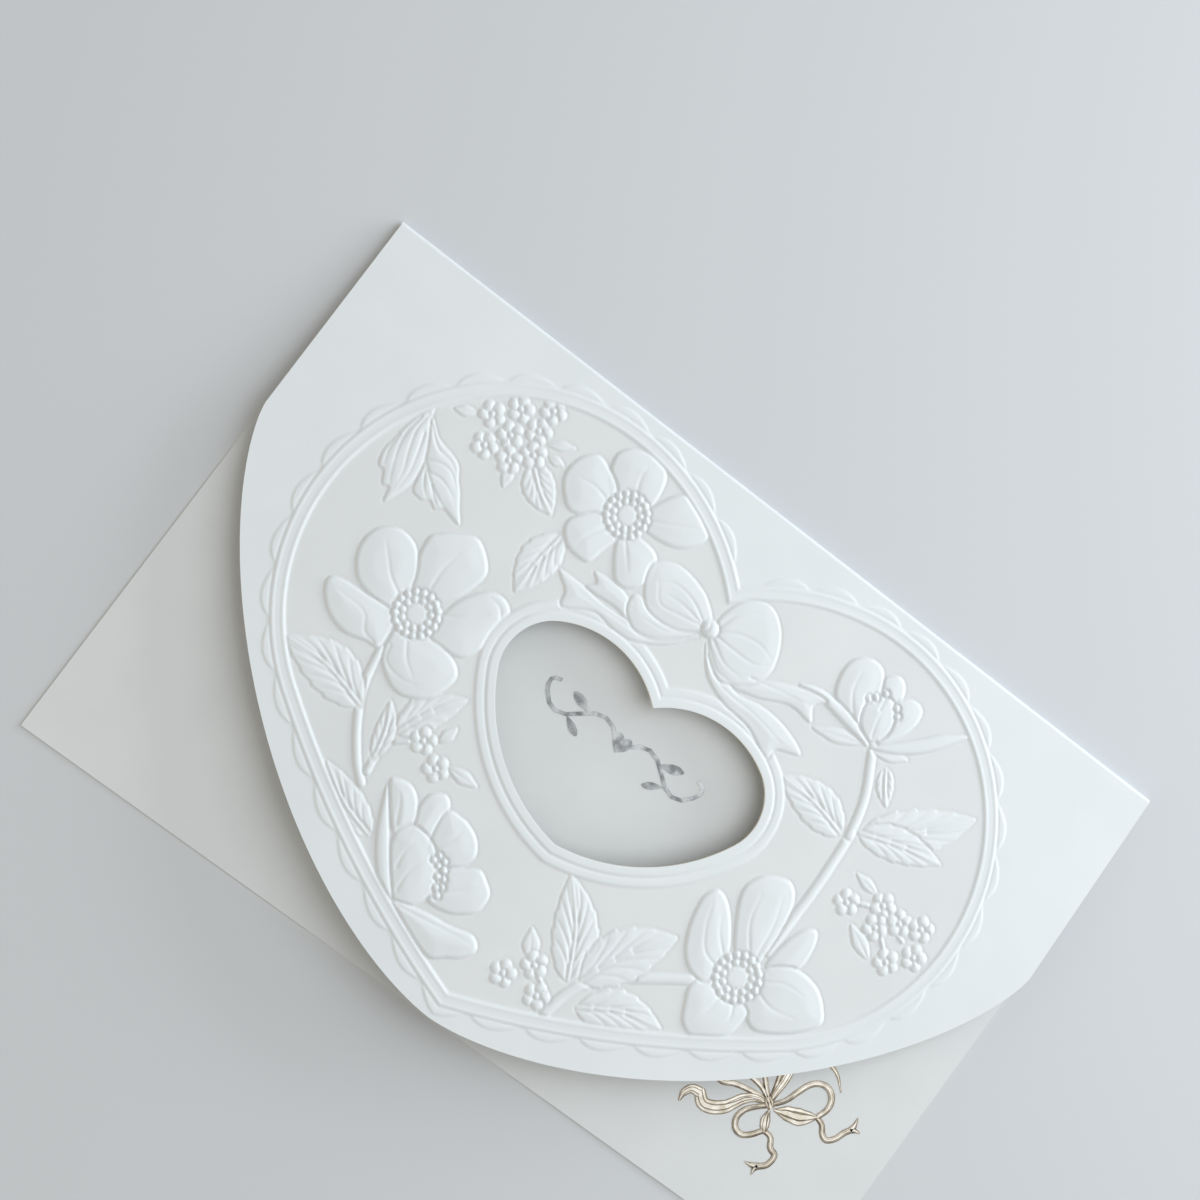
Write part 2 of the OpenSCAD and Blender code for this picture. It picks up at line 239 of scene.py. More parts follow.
# Veins: room before the first and after the last, course as shares of length and width, depth and width
VEIN_BEFORE = 0.15
VEIN_AFTER = 1.6
VEIN_COURSE = ((0.15, 0.3), (0.3, 0.62), (0.38, 0.9))
VEIN_GROOVE = (0.3, 0.31)
WIDE_LEAF = 6
CURLED_GROOVE = (0.3, 0.26)
# Buds: where they are widest, their shoulder as shares of length and width, edge, and groove
BUD_WIDEST = 0.45
BUD_SHOULDER = (0.8, 0.55)
BUD_EDGE = 0.2
BUD_GROOVE_END = 0.85
BUD_GROOVE = (0.25, 0.26)
# Florets, as shares of their radius: where the petals sit, their radius, and the middle bead's
FLORET_R = 3.2
FLORET_PETALS = 5
FLORET_PLACE = 0.58
FLORET_PETAL = 0.42
FLORET_MIDDLE = 0.22
FLORET_TURN = 0.7


def stamens(mid, radius):
    """Rings of beads about a low button."""
    bead(*mid, radius + BUTTON_ROOM, BUTTON_RISE)
    for count, share, size, rise in STAMEN_RINGS:
        r = radius * share
        for k in range(count):
            a = 2 * math.pi * (k + 1) / count
            bead(mid[0] + r * math.cos(a), mid[1] + r * math.sin(a), size, rise)


def leaf(base, tip, width, bend=0.0, veins=4, rise=LEAF_RISE):
    """A finely toothed leaf with a midrib between two grooves, and veins swept towards the tip."""
    base, tip = np.array(base, float), np.array(tip, float)
    run = tip - base
    across = np.array([-run[1], run[0]]) / np.hypot(*run)

    def rib(u):
        return base + run * u + across * bend * 4 * u * (1 - u)

    def side(u, s, share=1.0):
        return rib(u) + across * s * share * width / 2 * math.sin(math.pi * u**LEAF_FULL) ** LEAF_FULL

    def toothed(s):
        teeth = veins + 2
        for i in range(teeth):
            for along, out in TOOTH:
                yield side((i + along) / teeth, s, out)

    outline = [base, *toothed(1), tip, *reversed(list(toothed(-1)))]
    pad(outline, rise, min(width / 10, LEAF_EDGE), closed_curve=False)
    for i in range(veins):
        u = (i + VEIN_BEFORE) / (veins + VEIN_AFTER)
        for s in (1, -1):
            start = rib(u) + across * s * MIDRIB
            crease([start, *(side(u + on, s, out) for on, out in VEIN_COURSE)], *VEIN_GROOVE)
    crease([rib(0), rib(0.5), rib(MIDRIB_END)], *MIDRIB_GROOVE, split=MIDRIB)


def bud(base, tip, width, rise=LEAF_RISE):
    """A small smooth leaf with a midrib."""
    base, tip = np.array(base, float), np.array(tip, float)
    run = tip - base
    across = np.array([-run[1], run[0]]) / np.hypot(*run) * width / 2
    mid = base + run * BUD_WIDEST
    shoulder, narrowing = base + run * BUD_SHOULDER[0], across * BUD_SHOULDER[1]
    pad([base, mid - across, shoulder - narrowing, tip, shoulder + narrowing, mid + across],
        rise, width * BUD_EDGE)
    crease([base, mid, base + run * BUD_GROOVE_END], *BUD_GROOVE)


def floret(x, drop, radius=FLORET_R, turn=0.0):
    """A small flower of round petals about a bead."""
    r = FLORET_PLACE * radius
    for k in range(FLORET_PETALS):
        a = turn + 2 * math.pi * k / FLORET_PETALS
        bead(x + r * math.cos(a), drop + r * math.sin(a), FLORET_PETAL * radius, FLORET_RISE)
    bead(x, drop, FLORET_MIDDLE * radius, FLORET_RISE)


# Leaves and sprays

LEAVES = [
    # base, tip, width, bend
    ((-39.2, 33), (-40.2, 49.8), 9, 0.6),
    ((-52.5, 89.5), (-75, 87), 11, 1.6),
    ((-43.2, 90), (-34.3, 74.5), 7.5, -1.0),
    ((-43.6, 97), (-48, 84.5), 4.6, 0.8),
    ((-34, 111), (-51.5, 103.2), 8.5, -1.2),
    ((20.3, 111.5), (6.8, 91.8), 10.5, 1.4),
    ((22.2, 109.5), (34.8, 89.2), 12, -1.2),
    ((25, 115), (43.8, 107.6), 9.5, -1.6),
    ((52.2, 49), (32.3, 46.5), 9.5, 1.0),
    ((55.5, 46), (76, 27.5), 11, 1.4),
    ((54.8, 46.3), (75.4, 40.8), 8, -0.6),
    ((51.5, 30.5), (57, 38), 4.2, 0.3),
    ((-54, 24), (-43.6, 31.2), 7.5, 0.6),
]
# The curled pair at the upper left: outline and creases of each
CURLED_LEAVES = [
    ([(-77.6, 29.8), (-73.5, 32.5), (-69, 33.6), (-66.5, 34.8), (-64.8, 37.2), (-62.8, 39.4), (-61, 42),
      (-58.7, 45.2), (-63.4, 44.5), (-65.2, 45.7), (-67, 44.7), (-68.6, 45.7), (-71.3, 45.2),
      (-72.2, 42.5), (-73.2, 38.8)],
     [[(-73, 38.2), (-69.5, 41.2), (-64.5, 43.8), (-60, 45)],
      [(-73, 38), (-70, 36.7), (-67, 36.9), (-64, 39)],
      [(-71.2, 39.8), (-67.5, 39.5), (-63.4, 41)], [(-76.5, 31), (-72.5, 34.3), (-68.5, 35), (-66, 36.4)],
      [(-71.8, 40), (-70, 43), (-68, 44.6)], [(-68.7, 41.8), (-66.8, 43.6), (-65.2, 44.8)]]),
    ([(-78.3, 27.5), (-77.4, 30.5), (-75.3, 34), (-73.4, 38), (-72.6, 42), (-72.8, 45.8), (-74.9, 51),
      (-76, 47.8), (-77.6, 48), (-79.2, 45.4), (-80.6, 45.2), (-81.7, 42), (-81.2, 36), (-80, 31)],
     [[(-78.3, 29.5), (-78.6, 34), (-77.2, 39), (-75.6, 43), (-75, 47)],
      [(-79.4, 31), (-80, 36), (-79.3, 40), (-77.6, 44.5), (-76.4, 47)],
      [(-76.8, 33.5), (-75.4, 38), (-74.4, 42), (-74.3, 46.5)], [(-81, 37), (-80.9, 41), (-79.8, 44.4)]]),
]
BUDS = [
    ((-29, 89), (-21.3, 88.8), 3.2), ((-34, 86), (-32.6, 80.8), 2.8), ((10.8, 112.5), (6.6, 106.2), 4),
    ((-70, 23), (-75, 25.2), 2.6), ((-57.5, 27), (-56, 32.8), 2.8), ((-54, 19), (-48, 15.8), 2.4),
    ((-52, 21), (-47.8, 20.6), 2.2), ((74, 68), (65.6, 63.8), 3.6), ((67, 55), (60, 53.8), 2.6),
    ((44, 29.5), (32, 33.5), 3.6), ((47, 29.5), (55, 26.2), 3),
]
STEMS = [
    # path, half width
    ([(-56.4, 77), (-54.8, 85), (-51.5, 92), (-46.5, 99), (-42.5, 102.8)], 0.95),
    ([(-43.5, 80), (-44.2, 90), (-43, 100)], 0.9),
    ([(53.6, 80), (54.2, 62), (53.7, 47)], 1.15),
    ([(53.7, 48), (51.5, 39), (46.2, 28.5)], 1.1),
    ([(45, 93.5), (33, 101.5), (25.5, 107.5), (21.8, 113), (20, 119.5)], 1.3),
    ([(-37, 87.5), (-42, 91.5)], 0.5),
    ([(12, 113), (18, 116)], 0.5),
    ([(62, 60.5), (69, 57.5), (78, 60)], 0.5),
    ([(77.5, 66), (72, 61)], 0.5),
]
FLORETS = [
    (-67.5, 21), (-63, 16.3), (-61.5, 22.3), (-57, 17.8),
    (-54.8, 22.8), (-64.8, 27.6), (-58.5, 27), (-57, 12.2),
    (-37, 87.6), (-31.2, 90.8), (7.3, 118), (12, 112.6), (16.4, 117.8),
    (62, 60.5), (69.5, 56.2), (75, 57.2), (70.8, 61.2), (80, 55.3), (77.5, 66), (82.3, 61.5),
]

# Open flowers: middle, ring of stamens, petals from the lowest to the topmost, creases
FLOWERS = [
    dict(
        mid=(-54.7, 66.3), ring=4.7,
        petals=[
            [(-60, 61), (-62.5, 52), (-61, 49), (-57.5, 46.5), (-54, 45), (-51, 46.2), (-48, 49), (-47.5, 52),
             (-49.5, 58), (-54, 63)],
            [(-59, 62), (-62, 55.8), (-66, 53.6), (-70, 54), (-73, 57), (-73.4, 62), (-71, 66.5), (-67, 68.7),
             (-59, 68.6)],
            [(-49.5, 60), (-46, 53.8), (-42, 52), (-38.5, 53.5), (-37.2, 57), (-39, 65), (-42, 68.6),
             (-49.5, 68.3)],
            [(-57, 72), (-57, 77), (-60, 77.6), (-65, 78.8), (-70, 77.5), (-73.5, 74.5), (-74.8, 71.5),
             (-72.5, 69.8), (-66, 69.2), (-58, 69)],
            [(-51, 69), (-44, 69), (-39.6, 71.5), (-39.8, 76), (-42, 80), (-47, 82.5), (-51.5, 81.4),
             (-55, 78.5), (-56.4, 74), (-56, 70)],
        ],
        creases=[
            [(-60.5, 65), (-64, 63), (-67, 60), (-69.5, 57.5)],
            [(-58.5, 76.8), (-61.5, 76), (-64.5, 72.6), (-72.3, 72.2)],
            [(-55.3, 75), (-54, 78.3), (-50, 79.6), (-45.5, 79)],
            [(-53, 72), (-50.5, 75.5), (-47, 78)],
            [(-55.5, 60), (-55.8, 55), (-55, 50.5)],
            [(-49.8, 63), (-45.5, 60.5), (-42, 57)],
            [(-39.2, 56), (-41, 54.2), (-44, 53.8)],
        ],
    ),
    dict(
        mid=(-30.2, 20.8), ring=4.6,
        petals=[
            [(-36, 19), (-40, 12.5), (-38.6, 8.5), (-34, 6.6), (-29.5, 7), (-27.2, 10.5), (-27.5, 17)],
            [(-27, 24), (-24, 23), (-19.5, 24), (-17.5, 28), (-19, 32.5), (-23, 34.5), (-26.5, 31),
             (-29, 26)],
            [(-27, 17), (-24, 10.5), (-20, 8.4), (-16, 8.8), (-12.8, 11.3), (-12.6, 15), (-15.5, 19),
             (-20, 20.8), (-26, 20.8)],
            [(-35, 18), (-40, 14.6), (-43.5, 14), (-46.3, 17), (-46.8, 22), (-44, 26), (-40.5, 27.6),
             (-35, 24.5)],
            [(-35, 24), (-39.5, 28), (-40, 31.2), (-37.5, 34), (-34, 34.9), (-31, 34.4), (-30, 31),
             (-29, 25)],
        ],
        creases=[
            [(-35, 21), (-39.5, 20), (-43.5, 20.5)],
            [(-32.5, 26), (-34.5, 29.5), (-35.5, 32.5)],
            [(-25, 18.5), (-20, 16), (-15.5, 13.5)],
            [(-31, 16), (-32.5, 12.5), (-32.8, 9.5)],
            [(-27.5, 25), (-25, 28), (-22.5, 31)],
        ],
    ),
    dict(
        mid=(51.2, 88.6), ring=5.0,
        petals=[
            [(55, 83), (55.5, 76), (57.5, 71), (60.3, 69.8), (61.8, 73), (62, 78), (60, 83)],
            [(48, 85), (43, 78), (40.6, 72), (42, 67.6), (45, 65.3), (48.8, 64.4), (51.7, 67), (53, 72),
             (53.4, 79), (53, 85)],
            [(55, 84), (59, 80.2), (63, 79.1), (68, 80), (71.8, 83), (73.3, 86.2), (70, 90.5), (65, 94.2),
             (61, 95.8), (57.8, 94.4), (55, 91)],
            [(46, 92), (43.2, 96), (44.5, 100), (46.5, 103.6), (49.5, 105), (52.5, 104.4), (56, 101.5),
             (57.7, 98), (57, 93)],
            [(46.5, 86), (43.5, 80.5), (39.5, 76.4), (36, 75.3), (34.2, 78), (34.4, 82), (35.6, 86.5),
             (38, 91), (41.5, 93.6), (46, 93.2)],
        ],
        creases=[
            [(46.5, 89.5), (41.5, 88), (38.2, 83), (36.8, 78.5)],
            [(46, 86.8), (42, 83), (40, 79.5)],
            [(50.5, 83), (46.2, 77), (44.6, 70.5)],
            [(52, 82), (51, 74), (49, 68)],
            [(56.5, 88.3), (61.5, 89.6), (67, 88.5)],
            [(56.5, 86), (61, 83.5), (66, 83.2)],
            [(50.5, 94), (49.8, 98), (48.6, 101.5)],
            [(54, 94), (55, 97), (54, 100.5)],
        ],
    ),
]

# Flowers seen from the side: pads from the lowest to the topmost, creases, and stamen beads
SIDE_FLOWERS = [
    dict(
        pads=[
            [(-29.3, 97), (-26.4, 94.2), (-24, 95.2), (-23.2, 98.5), (-23.5, 105), (-28, 105)],
            [(-23.8, 97.2), (-20.3, 96), (-17, 96.7), (-14.3, 98.4), (-12.7, 101.2), (-13.8, 104.5),
             (-16.5, 106.5), (-22, 106)],
            [(-16.5, 107.5), (-13, 104.4), (-10, 102.9), (-7.3, 104.2), (-5.1, 106.2), (-5, 110), (-7, 112.5),
             (-11, 114.6), (-16, 114.5)],
            [(-37.6, 99.2), (-36.4, 97.2), (-33, 96.9), (-30, 99), (-28.2, 102.5), (-27.5, 108), (-31, 107)],
            [(-30, 106.5), (-27.7, 103.4), (-23.2, 103.8), (-20.3, 105.4), (-17.4, 109), (-16, 112.6),
             (-16.6, 116.2), (-19, 118.8), (-22.5, 118.8), (-26.5, 114), (-29.2, 110)],
            [(-37.8, 100), (-36, 101.5), (-31, 108), (-26, 114.5), (-21.8, 119.6), (-24.5, 119.6),
             (-29.5, 115), (-34, 108.5)],
            [(-22.3, 119.4), (-15, 117.2), (-8.5, 116.4), (-3, 115.3), (-0.4, 117.4), (-2, 120.6),
             (-5, 122.6), (-8.2, 124.6), (-14, 123), (-19, 120.8)],
        ],
        creases=[
            [(-22.5, 117), (-22.8, 112.5), (-21.5, 108)],
            [(-25.5, 113), (-26, 109.5), (-25.5, 106.5)],
            [(-20.5, 119.4), (-14, 118.6), (-8.5, 117.7), (-3, 117)],
            [(-21, 104.5), (-19, 101), (-18.5, 98.5)],
            [(-14.5, 112), (-11, 109), (-8.5, 106.5)],
            [(-31, 105.5), (-33, 101.5), (-34.8, 99.2)],
        ],
        beads=[(-19.3, 105.6), (-17.6, 106), (-18.3, 107.4), (-16.6, 107.6), (-15.6, 109.2), (-17, 109.4),
               (-14.8, 110.8), (-15.8, 111.6), (-14.6, 112.8), (-19.8, 106.9)],
    ),
    dict(
        pads=[
            [(40, 21), (38.8, 15.4), (41.5, 12.2), (44.5, 13.2), (46, 18), (45.5, 24)],
            [(44.5, 24), (44.6, 17.5), (47.5, 14.6), (50.8, 15), (51.6, 18.6), (50, 23.5), (47, 27.5)],
            [(36, 26.5), (31.8, 24), (30.3, 19), (31, 15.2), (34.2, 12.8), (38, 13.2), (40.2, 17), (41.5, 22),
             (43, 27)],
            [(44.5, 28.5), (40.5, 26), (39, 21.5), (40.8, 18.4), (44, 17.6), (46.6, 20.5), (47.2, 25)],
            [(45.8, 29.4), (38, 28.6), (30, 27.4), (23.8, 27.6), (27.5, 25.6), (33, 25.2), (40, 26.6)],
            [(45.5, 29.4), (49, 25.8), (54, 20.8), (58, 16.6), (63.4, 13.2), (61, 17.6), (57, 22.6),
             (52, 26.6)],
        ],
        creases=[
            [(38.5, 26), (35, 21.5), (34, 16.5)],
            [(44.6, 27), (43.4, 23), (43.6, 19.6)],
            [(46.6, 26), (48, 21.5), (48.8, 17)],
            [(42.5, 21), (42.2, 17.4), (42.4, 14.6)],
        ],
        beads=[(38.9, 20.4), (40.2, 19.2), (41.6, 17.2), (45.6, 18.4), (46.8, 19.8)],
    ),
]

# Ribbon bow in the cleft: pads from the lowest to the topmost, and creases
RIBBON_PADS = [
    [(2, 30), (12, 33.5), (20, 29.8), (26, 27.4), (31.4, 26.8), (29.6, 29.6), (31.2, 33), (25, 32.6),
     (17, 36), (8, 37)],
    [(-2, 31), (-9, 36.6), (-17, 35.6), (-23, 34.4), (-28.6, 35), (-26.8, 37), (-28, 39.2), (-20, 38.8),
     (-10, 40)],
    [(-1, 32.5), (-5.5, 38.2), (-12, 42.2), (-17.5, 43), (-23.5, 42.4), (-30, 45.8), (-31.5, 42.5),
     (-35.2, 39.5), (-29, 39.2), (-22, 39.8), (-14, 38.8), (-6, 35)],
    [(1, 32.5), (5.5, 38.4), (12, 41.2), (20, 42.2), (27.2, 45.3), (28.5, 42.5), (33.6, 40), (27, 37.2),
     (20, 36.6), (13, 37.6), (6, 35)],
    [(-1, 31), (-6, 33), (-13, 33.5), (-18.2, 33.6), (-18, 37.4), (-14, 40.2), (-9.6, 39.6), (-5.5, 36.8)],
    [(0, 29.5), (-4, 25), (-9, 23), (-14.5, 22.6), (-18.8, 25), (-18.7, 29), (-15.6, 33.8), (-11.5, 35.2),
     (-5.5, 34.2)],
    [(0.5, 29.5), (0.8, 24), (3.2, 19.6), (8, 17.2), (12.8, 19.6), (16, 24.6), (17, 30), (14, 35),
     (8.5, 37.8), (3.2, 34.6)],
]
RIBBON_CREASES = [
    [(-2, 29.6), (-7, 27), (-12, 26.4), (-15.6, 28.4)],
    [(-2, 30.4), (-8, 31.6), (-12.6, 32), (-15.6, 28.4)],
    [(-3, 29.9), (-8, 29.2), (-12, 29.4)],
    [(-2, 32.4), (-8, 36.2), (-14, 37)],
    [(1.6, 29.6), (6, 26.8), (11, 25.8), (14.6, 26.6)],
    [(1.6, 30.2), (7, 30.4), (12.5, 30.2), (15.4, 28.6)],
    [(1.6, 31), (7, 34), (12, 34.4)],
    [(1.4, 28.8), (3.2, 23.4), (7.8, 19.6)],
    [(2.4, 33.2), (7, 36.4), (12.4, 36.4)],
    [(-3, 34.4), (-10, 39.4), (-18, 40.6), (-28, 41)],
    [(3, 34.8), (10, 38.6), (20, 39.2), (28, 40.6)],
    [(14, 33), (21, 31.4), (29, 29.8)],
]
KNOT = (0, 29.8)
KNOT_R = 2.1
KNOT_RISE = 0.9
KNOT_FOLD = [(-0.8, 28.2), (-0.3, 29.8), (-0.7, 31.4)]

# Edge widths of the raised shapes, and depth and width of the grooves in them
FLOWER_EDGE = 0.9
SIDE_FLOWER_EDGE = 0.8
RIBBON_EDGE = 0.7
PETAL_GROOVE = (0.2, 0.34)
RIBBON_GROOVE = (0.22, 0.32)
KNOT_GROOVE = (0.25, 0.3)
SIDE_BEAD_R = 0.8


def draw_floral_work():
    for path, half in STEMS:
        ridge(path, STEM_RISE, half)
    for base, tip, width, bend in LEAVES:
        leaf(base, tip, width, bend, veins=4 if width > WIDE_LEAF else 3)
    for outline, creases in CURLED_LEAVES:
        pad(outline, LEAF_RISE, LEAF_EDGE)
        for line in creases:
            crease(line, *CURLED_GROOVE)
    for base, tip, width in BUDS:
        bud(base, tip, width)
    for i, (x, drop) in enumerate(FLORETS):
        floret(x, drop, turn=FLORET_TURN * i)
    for flower in FLOWERS:
        for outline in flower["petals"]:
            pad(outline, PETAL_RISE, FLOWER_EDGE, flower["mid"])
        for line in flower["creases"]:
            crease(line, *PETAL_GROOVE)
        stamens(flower["mid"], flower["ring"])
    for flower in SIDE_FLOWERS:
        for outline in flower["pads"]:
            pad(outline, PETAL_RISE, SIDE_FLOWER_EDGE)
        for line in flower["creases"]:
            crease(line, *PETAL_GROOVE)
        for x, drop in flower["beads"]:
            bead(x, drop, SIDE_BEAD_R, PETAL_RISE)


def draw_bow():
    for outline in RIBBON_PADS:
        pad(outline, RIBBON_RISE, RIBBON_EDGE)
    for line in RIBBON_CREASES:
        crease(line, *RIBBON_GROOVE)
    bead(*KNOT, KNOT_R, KNOT_RISE)
    crease(KNOT_FOLD, *KNOT_GROOVE, fade=False)


# The two hearts

def meet(p, rp, q, rq, side):
    """Where two circles cross, on one side of the line between their centres."""
    p, q = np.array(p, float), np.array(q, float)
    gap = np.hypot(*(q - p))
    e = (q - p) / gap
    a = (rp * rp - rq * rq + gap * gap) / (2 * gap)
    return p + a * e + side * math.sqrt(max(rp * rp - a * a, 0)) * np.array([-e[1], e[0]])


def heart_arcs(h):
    """Centres of the lobe, flank and top arcs of a heart's left half, in x and drop."""
    lobe = np.array(h["lobe"], float)
    flank = meet(lobe, h["flank_r"] - h["lobe_r"], (0, h["tip"]), h["flank_r"], -1)
    top = meet(lobe, h["top_r"] - h["lobe_r"], (0, h["cleft"]), h["top_r"], 1)
    return lobe, flank, top


def heading(v):
    """Angle of a direction in x and drop, measured with drop downward, from 0 to a full turn."""
    return np.arctan2(-v[1], v[0]) % (2 * math.pi)


def heart_distance(h, x, drop):
    """Distance from a heart's outline, positive outside."""
    lobe, flank, top = heart_arcs(h)
    x = -np.abs(x)
    to_lobe = np.array([x - lobe[0], drop - lobe[1]])
    angle = heading(to_lobe)
    on_lobe = (angle > heading(lobe - top)) & (angle < heading(lobe - flank))
    above = drop < lobe[1]
    return np.where(
        on_lobe, np.hypot(*to_lobe) - h["lobe_r"],
        np.where(above, np.hypot(x - top[0], drop - top[1]) - h["top_r"],
                 np.hypot(x - flank[0], drop - flank[1]) - h["flank_r"]))


def heart_outline(h, step):
    """Points along a heart's outline, from its cleft round by the left to its tip and back by the right."""
    lobe, flank, top = heart_arcs(h)
    tip = np.array([0, h["tip"]])
    to_cleft = heading(np.array([0, h["cleft"]]) - top)
    arcs = [(top, h["top_r"], to_cleft, heading(lobe - top)),
            (lobe, h["lobe_r"], heading(lobe - top), heading(lobe - flank)),
            (flank, h["flank_r"], heading(lobe - flank), heading(tip - flank))]
    half = []
    for mid, r, first, last in arcs:
        for t in np.linspace(first, last, int(abs(last - first) * r / step) + 2, endpoint=False):
            half.append((mid[0] + r * math.cos(t), mid[1] - r * math.sin(t)))
    half.append(tuple(tip))
    return np.array(half + [(-x, drop) for x, drop in reversed(half[1:-1])])


SCALLOP_DEPTH = 2.5
SCALLOP_GAP = 0.5
SCALLOP_LEAN = 1.3
SCALLOP_FULL = 0.6
SCALLOP_EDGE = 0.4
LOBE_PITCH = 11.3
FLANK_PITCH = 12.3
SCALLOPS_FROM = math.radians(48.6)
# The border's ribs: share of its height, room from its edge to each side of a rib, and the rounded edges
RIB_SHARE = 0.3
RIB_FROM, RIB_TO = 1.0, 0.1
RIB_EDGE = 0.5
BAND_EDGE = 0.6
# The moulding's steps: their rounded edges, and the outer one's share of the height
STEP_EDGE = 0.7
OUTER_STEP = 0.7


def draw_border():
    """The flat band of the large heart, with a fine rib along each edge, and the scallops outside it."""
    x, drop = np.meshgrid(COLUMNS, ROWS)
    d = heart_distance(BORDER_HEART, x, drop)
    lobe, flank, _ = heart_arcs(BORDER_HEART)
    half = BORDER_W / 2
    near = np.abs(d) < half + SCALLOP_DEPTH + 2

    # how far round the scallops each point is, counted in scallops
    left = -np.abs(x)
    join = heading(lobe - flank)
    round_lobe = heading(np.array([left - lobe[0], drop - lobe[1]]))
    round_flank = heading(np.array([left - flank[0], drop - flank[1]]))
    count = np.where(round_lobe < join, (round_lobe - SCALLOPS_FROM) * BORDER_HEART["lobe_r"] / LOBE_PITCH,
                     (join - SCALLOPS_FROM) * BORDER_HEART["lobe_r"] / LOBE_PITCH
                     + (round_flank - join) * BORDER_HEART["flank_r"] / FLANK_PITCH)
    swell = np.sin(math.pi * (count % 1) ** SCALLOP_LEAN) ** SCALLOP_FULL
    reach = half - SCALLOP_GAP + SCALLOP_DEPTH * swell
    scallop = near & (d > half) & (count > 0) & (d < reach)
    relief[:] = np.where(scallop, SCALLOP_RISE * rounded((reach - d) / SCALLOP_EDGE), relief)

    side = np.abs(d)
    rib = band(side, half - RIB_FROM, half - RIB_TO, RIB_EDGE)
    top = (1 - RIB_SHARE) * band(side, -half, half, BAND_EDGE) + RIB_SHARE * rib
    calm = GROOVE_FLOOR + (1 - GROOVE_FLOOR) * smooth((side - half) / GROOVE)
    relief[:] = np.where(side < half, BORDER_RISE * top, np.where(near, relief * calm, relief))


def draw_moulding():
    """The two flat steps around the window, the inner one higher."""
    x, drop = np.meshgrid(COLUMNS, ROWS)
    d = heart_distance(WINDOW_HEART, x, drop)
    half = FRAME_W / 2
    inner = MOULDING_RISE * band(d, -half / 4, half, STEP_EDGE)
    outer = MOULDING_RISE * OUTER_STEP * band(d, half, FRAME_W, STEP_EDGE)
    calm = GROOVE_FLOOR + (1 - GROOVE_FLOOR) * smooth((d - FRAME_W) / GROOVE)
    relief[:] = np.where(d < FRAME_W, np.maximum(inner, outer), relief * calm)


def soften(field, spread):
    """Blur a field by a small bell curve, as paper rounds off the die's edges."""
    reach = int(3 * spread / GRID) + 1
    bell = np.exp(-0.5 * (np.arange(-reach, reach + 1) * GRID / spread) ** 2)
    bell /= bell.sum()
    for axis in (0, 1):
        room = [(reach, reach) if a == axis else (0, 0) for a in (0, 1)]
        wide = np.pad(field, room, mode="edge")
        field = sum(w * np.take(wide, np.arange(k, k + field.shape[axis]), axis) for k, w in enumerate(bell))
    return field


draw_floral_work()
draw_border()
draw_moulding()
# The ribbon stays off the moulding's inner step
inner_step = heart_distance(WINDOW_HEART, *np.meshgrid(COLUMNS, ROWS)) < FRAME_W / 2
before_bow = relief.copy()
draw_bow()
relief[inner_step] = before_bow[inner_step]
relief = soften(relief, SOFTEN)


# The folded sheet as one closed mesh

def look_up(field, x, drop):
    """Values of the field between its grid points."""
    c = np.clip((x - COLUMNS[0]) / GRID, 0, len(COLUMNS) - 1.001)
    r = np.clip((drop - ROWS[0]) / GRID, 0, len(ROWS) - 1.001)
    i, j = r.astype(int), c.astype(int)
    u, w = r - i, c - j
    return ((1 - u) * ((1 - w) * field[i, j] + w * field[i, j + 1])
            + u * ((1 - w) * field[i + 1, j] + w * field[i + 1, j + 1]))


def widest(field, reach):
    """The largest value within a square around each grid point."""
    for axis in (0, 1):
        room = [(reach, reach) if a == axis else (0, 0) for a in (0, 1)]
        wide = np.pad(field, room, mode="edge")
        shifts = range(2 * reach + 1)
        field = np.max([np.take(wide, np.arange(k, k + field.shape[axis]), axis) for k in shifts], 0)
    return field


# Spacing of the closest points, how many times it doubles, and how far a triangle may lie off the relief
FINE = 0.37
LEVELS = 5
FLATNESS = 0.016
EDGE_CLEAR = 0.6 * FINE
slope_drop, slope_x = np.gradient(relief, GRID)


def flap_points():
    """Points over the flap, close together where the relief bends and far apart where it is flat."""
    bend = sum(np.abs(g) for s in (slope_drop, slope_x) for g in np.gradient(s, GRID))
    chosen = set()
    for level in reversed(range(LEVELS)):
        step = FINE * 2**level
        x, drop = np.meshgrid(np.arange(0, CARD_W / 2, step), np.arange(0, FLAP_L, step))
        x, drop = np.concatenate([x.ravel(), -x.ravel()]), np.tile(drop.ravel(), 2)
        if level < LEVELS - 1:
            rough = widest(bend, int(step / GRID) + 1)
            wanted = look_up(rough, x, drop) * (2 * step) ** 2 / 8 > FLATNESS
            x, drop = x[wanted], drop[wanted]
        chosen.update(zip(np.round(x / FINE).astype(int), np.round(drop / FINE).astype(int)))
    return np.array(sorted(chosen), float) * FINE


# Height by which the painted shade on the flat ground inside the heart has faded out, steps along the cut
# edges, and decimals that points are rounded to
GROUND_SHADE_UNTIL = 0.25
EDGE_STEP = 1.2
WINDOW_STEP = 0.5
FOLD_STRIPS = 54
PLACES = 3


def edge_drop(x):
    """Drop of the flap's lower edge at a distance from the middle."""
    across = np.clip(np.abs(2 * x / CARD_W), 0, 1) ** (1 / FLAP_ROUND)
    return FLAP_SIDE + (FLAP_L - FLAP_SIDE) * (1 - across**2) ** (FLAP_FULL / 2)


def flap_outline():
    """The flap's outline: down its left side from the fold, round, up its right side, back along the fold."""
    turn = np.linspace(0, math.pi, int(math.pi * FLAP_L / EDGE_STEP))
    wide = CARD_W / 2
    x = -wide * np.sign(np.cos(turn)) * np.abs(np.cos(turn)) ** FLAP_ROUND
    drop = edge_drop(x)
    along = np.linspace(wide, -wide, FOLD_STRIPS + 1)
    return np.vstack([np.c_[x, drop], np.c_[along, np.zeros_like(along)]])


